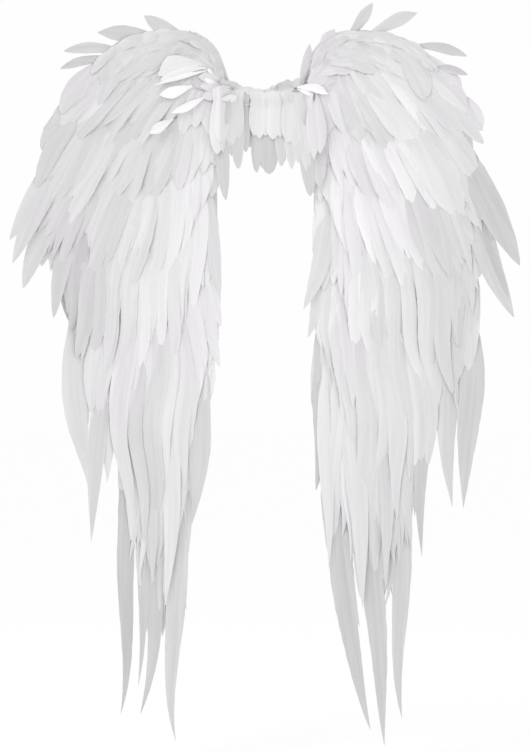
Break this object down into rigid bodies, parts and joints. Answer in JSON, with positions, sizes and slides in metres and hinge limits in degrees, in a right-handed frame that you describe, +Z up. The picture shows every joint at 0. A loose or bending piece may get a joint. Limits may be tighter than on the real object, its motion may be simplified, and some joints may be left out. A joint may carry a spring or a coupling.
{
  "type": "feather angel wings",
  "caption": "Pair of long drooping white feather wings on a bent wrapped spar, with felt backings, a harness plate and elastic shoulder straps.",
  "frame": {"origin": "middle of the harness plate's face that lies against the wearer's back", "axes": "+Z up towards the crest, +Y towards the wearer, -Y the feathered face that the picture shows, +X the onlooker's right"},
  "size_m": [0.6775, 0.1528, 1],
  "materials": {
    "white_feather": "soft matt white feather vanes with a faint satin sheen",
    "grey_white_feather": "matt greyish white long plumes",
    "felt": "white felt",
    "spar_wrapping": "white ribbon wound round a wire",
    "elastic": "woven white elastic"
  },
  "bodies": {
    "root": {"harness_plate": "felt", "wrapped_spar": "spar_wrapping", "bridge_feathers": "white_feather", "left_backing": "felt", "left_tail_feathers": "grey_white_feather", "left_long_feathers": "grey_white_feather", "left_lower_feathers": "white_feather", "left_middle_feathers": "white_feather", "left_upper_feathers": "white_feather", "left_coverts": "white_feather", "left_crest_feathers": "white_feather", "left_shoulder_strap": "elastic", "right_backing": "felt", "right_tail_feathers": "grey_white_feather", "right_long_feathers": "grey_white_feather", "right_lower_feathers": "white_feather", "right_middle_feathers": "white_feather", "right_upper_feathers": "white_feather", "right_coverts": "white_feather", "right_crest_feathers": "white_feather", "right_shoulder_strap": "elastic"}
  },
  "joints": []
}
